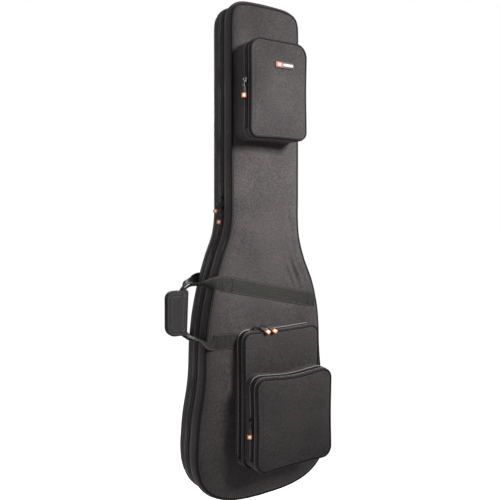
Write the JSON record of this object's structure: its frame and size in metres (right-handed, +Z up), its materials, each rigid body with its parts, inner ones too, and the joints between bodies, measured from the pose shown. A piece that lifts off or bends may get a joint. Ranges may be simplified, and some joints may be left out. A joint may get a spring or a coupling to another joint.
{
  "type": "padded bass guitar gig bag",
  "caption": "Padded soft case for an electric bass that opens as a clamshell, with zipped pockets, a wrapped side handle and shoulder straps.",
  "frame": {"origin": "inside the haul loop on the back of the head, where a hook holds the bag", "axes": "+Z up along the neck, -Y out of the front with the pockets, +X to the right seen from the front"},
  "size_m": [0.4524, 0.2444, 1.246],
  "materials": {
    "cover": "ballistic nylon weave",
    "foam": "closed-cell padding",
    "lining": "short plush",
    "piping": "satin",
    "zip_tape": "woven tape with nylon coil",
    "webbing": "woven polypropylene",
    "slider": "black lacquer",
    "pull": "satin",
    "buckle": "moulded",
    "badge": "moulded patch with a plain coloured block"
  },
  "bodies": {
    "back_half": {"back_cover": "cover", "back_foam": "foam", "back_lining": "lining", "back_piping": "piping", "back_zip_tape": "zip_tape", "back_hinge_gusset": "cover", "back_handle_strap": "webbing", "back_handle_stub": "webbing", "haul_loop": "webbing", "shoulder_strap_left": "cover", "shoulder_strap_right": "cover", "strap_adjuster_left": "buckle", "strap_adjuster_right": "buckle", "strap_webbing_left": "webbing", "strap_webbing_right": "webbing", "strap_yoke": "cover", "neck_cradle": "lining", "neck_strap": "webbing", "end_pad": "lining"},
    "front_half": {"front_cover": "cover", "front_foam": "foam", "front_lining": "lining", "front_piping": "piping", "front_zip_tape": "zip_tape", "front_hinge_gusset": "cover", "front_handle_strap": "webbing", "front_handle_stub": "webbing", "upper_pocket_gusset": "cover", "upper_pocket_zip_inner": "zip_tape", "large_pocket_gusset": "cover", "large_pocket_zip_inner": "zip_tape"},
    "upper_pocket_flap": {"upper_pocket_panel": "cover", "upper_pocket_piping": "piping", "upper_pocket_zip_outer": "zip_tape", "badge": "badge"},
    "large_pocket_flap": {"large_pocket_panel": "cover", "large_pocket_piping": "piping", "large_pocket_zip_outer": "zip_tape", "small_pocket_gusset": "cover", "small_pocket_zip_inner": "zip_tape"},
    "small_pocket_flap": {"small_pocket_panel": "cover", "small_pocket_piping": "piping", "small_pocket_zip_outer": "zip_tape"},
    "front_loop": {"front_handle_loop": "webbing", "front_grip": "cover"},
    "back_loop": {"back_handle_loop": "webbing", "back_grip": "cover"},
    "main_upper_slider": {"main_upper_slider": "slider"},
    "main_upper_pull": {"main_upper_pull": "pull"},
    "main_lower_slider": {"main_lower_slider": "slider"},
    "main_lower_pull": {"main_lower_pull": "pull"},
    "upper_pocket_slider": {"upper_pocket_slider": "slider"},
    "upper_pocket_pull": {"upper_pocket_pull": "pull"},
    "large_left_slider": {"large_left_slider": "slider"},
    "large_left_pull": {"large_left_pull": "pull"},
    "large_right_slider": {"large_right_slider": "slider"},
    "large_right_pull": {"large_right_pull": "pull"},
    "small_pocket_slider": {"small_pocket_slider": "slider"},
    "small_pocket_pull": {"small_pocket_pull": "pull"}
  },
  "joints": [
    {"name": "lid_hinge", "type": "hinge", "parent": "back_half", "child": "front_half", "pos_m": [0.1985, -0.07, -0.99], "axis": [0, 0, 1], "range_deg": [0, 170]},
    {"name": "upper_pocket_fold", "type": "hinge", "parent": "front_half", "child": "upper_pocket_flap", "pos_m": [-0.008, -0.166, -0.263], "axis": [1, 0, 0], "range_deg": [0, 90]},
    {"name": "large_pocket_fold", "type": "hinge", "parent": "front_half", "child": "large_pocket_flap", "pos_m": [0.02, -0.143, -1.061], "axis": [1, 0, 0], "range_deg": [0, 90]},
    {"name": "small_pocket_fold", "type": "hinge", "parent": "large_pocket_flap", "child": "small_pocket_flap", "pos_m": [0.02, -0.194, -1.054], "axis": [1, 0, 0], "range_deg": [0, 90]},
    {"name": "front_loop_swing", "type": "hinge", "parent": "front_half", "child": "front_loop", "pos_m": [-0.167, -0.12, -0.683], "axis": [0, 0, 1], "range_deg": [0, 90]},
    {"name": "back_loop_swing", "type": "hinge", "parent": "back_half", "child": "back_loop", "pos_m": [-0.167, -0.02, -0.683], "axis": [0, 0, -1], "range_deg": [0, 90]},
    {"name": "main_upper_slide", "type": "slide", "parent": "back_half", "child": "main_upper_slider", "axis": [0, 0, 1], "range_m": [0, 0.38]},
    {"name": "main_upper_pull_swing", "type": "hinge", "parent": "main_upper_slider", "child": "main_upper_pull", "pos_m": [-0.1065, -0.07, -0.404], "axis": [0, 0.9272, 0.3746], "range_deg": [0, 120]},
    {"name": "main_lower_slide", "type": "slide", "parent": "back_half", "child": "main_lower_slider", "axis": [0, 0, -1], "range_m": [0, 0.012]},
    {"name": "main_lower_pull_swing", "type": "hinge", "parent": "main_lower_slider", "child": "main_lower_pull", "pos_m": [-0.1065, -0.07, -0.429], "axis": [0, 1, 0], "range_deg": [0, 90]},
    {"name": "upper_pocket_slide", "type": "slide", "parent": "front_half", "child": "upper_pocket_slider", "axis": [0, 0, 1], "range_m": [-0.08, 0.06]},
    {"name": "upper_pocket_pull_swing", "type": "hinge", "parent": "upper_pocket_slider", "child": "upper_pocket_pull", "pos_m": [-0.0955, -0.166, -0.128], "axis": [0, 1, 0], "range_deg": [0, 120]},
    {"name": "large_left_slide", "type": "slide", "parent": "front_half", "child": "large_left_slider", "axis": [-1, 0, 0], "range_m": [0, 0.011]},
    {"name": "large_left_pull_swing", "type": "hinge", "parent": "large_left_slider", "child": "large_left_pull", "pos_m": [-0.05, -0.143, -0.7225], "axis": [-0.454, -0.891, 0], "range_deg": [0, 120]},
    {"name": "large_right_slide", "type": "slide", "parent": "front_half", "child": "large_right_slider", "axis": [1, 0, 0], "range_m": [0, 0.08]},
    {"name": "large_right_pull_swing", "type": "hinge", "parent": "large_right_slider", "child": "large_right_pull", "pos_m": [-0.03, -0.143, -0.7225], "axis": [0, -1, 0], "range_deg": [0, 120]},
    {"name": "small_pocket_slide", "type": "slide", "parent": "large_pocket_flap", "child": "small_pocket_slider", "axis": [0, 0, 1], "range_m": [-0.06, 0.06]},
    {"name": "small_pocket_pull_swing", "type": "hinge", "parent": "small_pocket_slider", "child": "small_pocket_pull", "pos_m": [-0.0965, -0.194, -0.931], "axis": [0, 1, 0], "range_deg": [0, 120]}
  ]
}
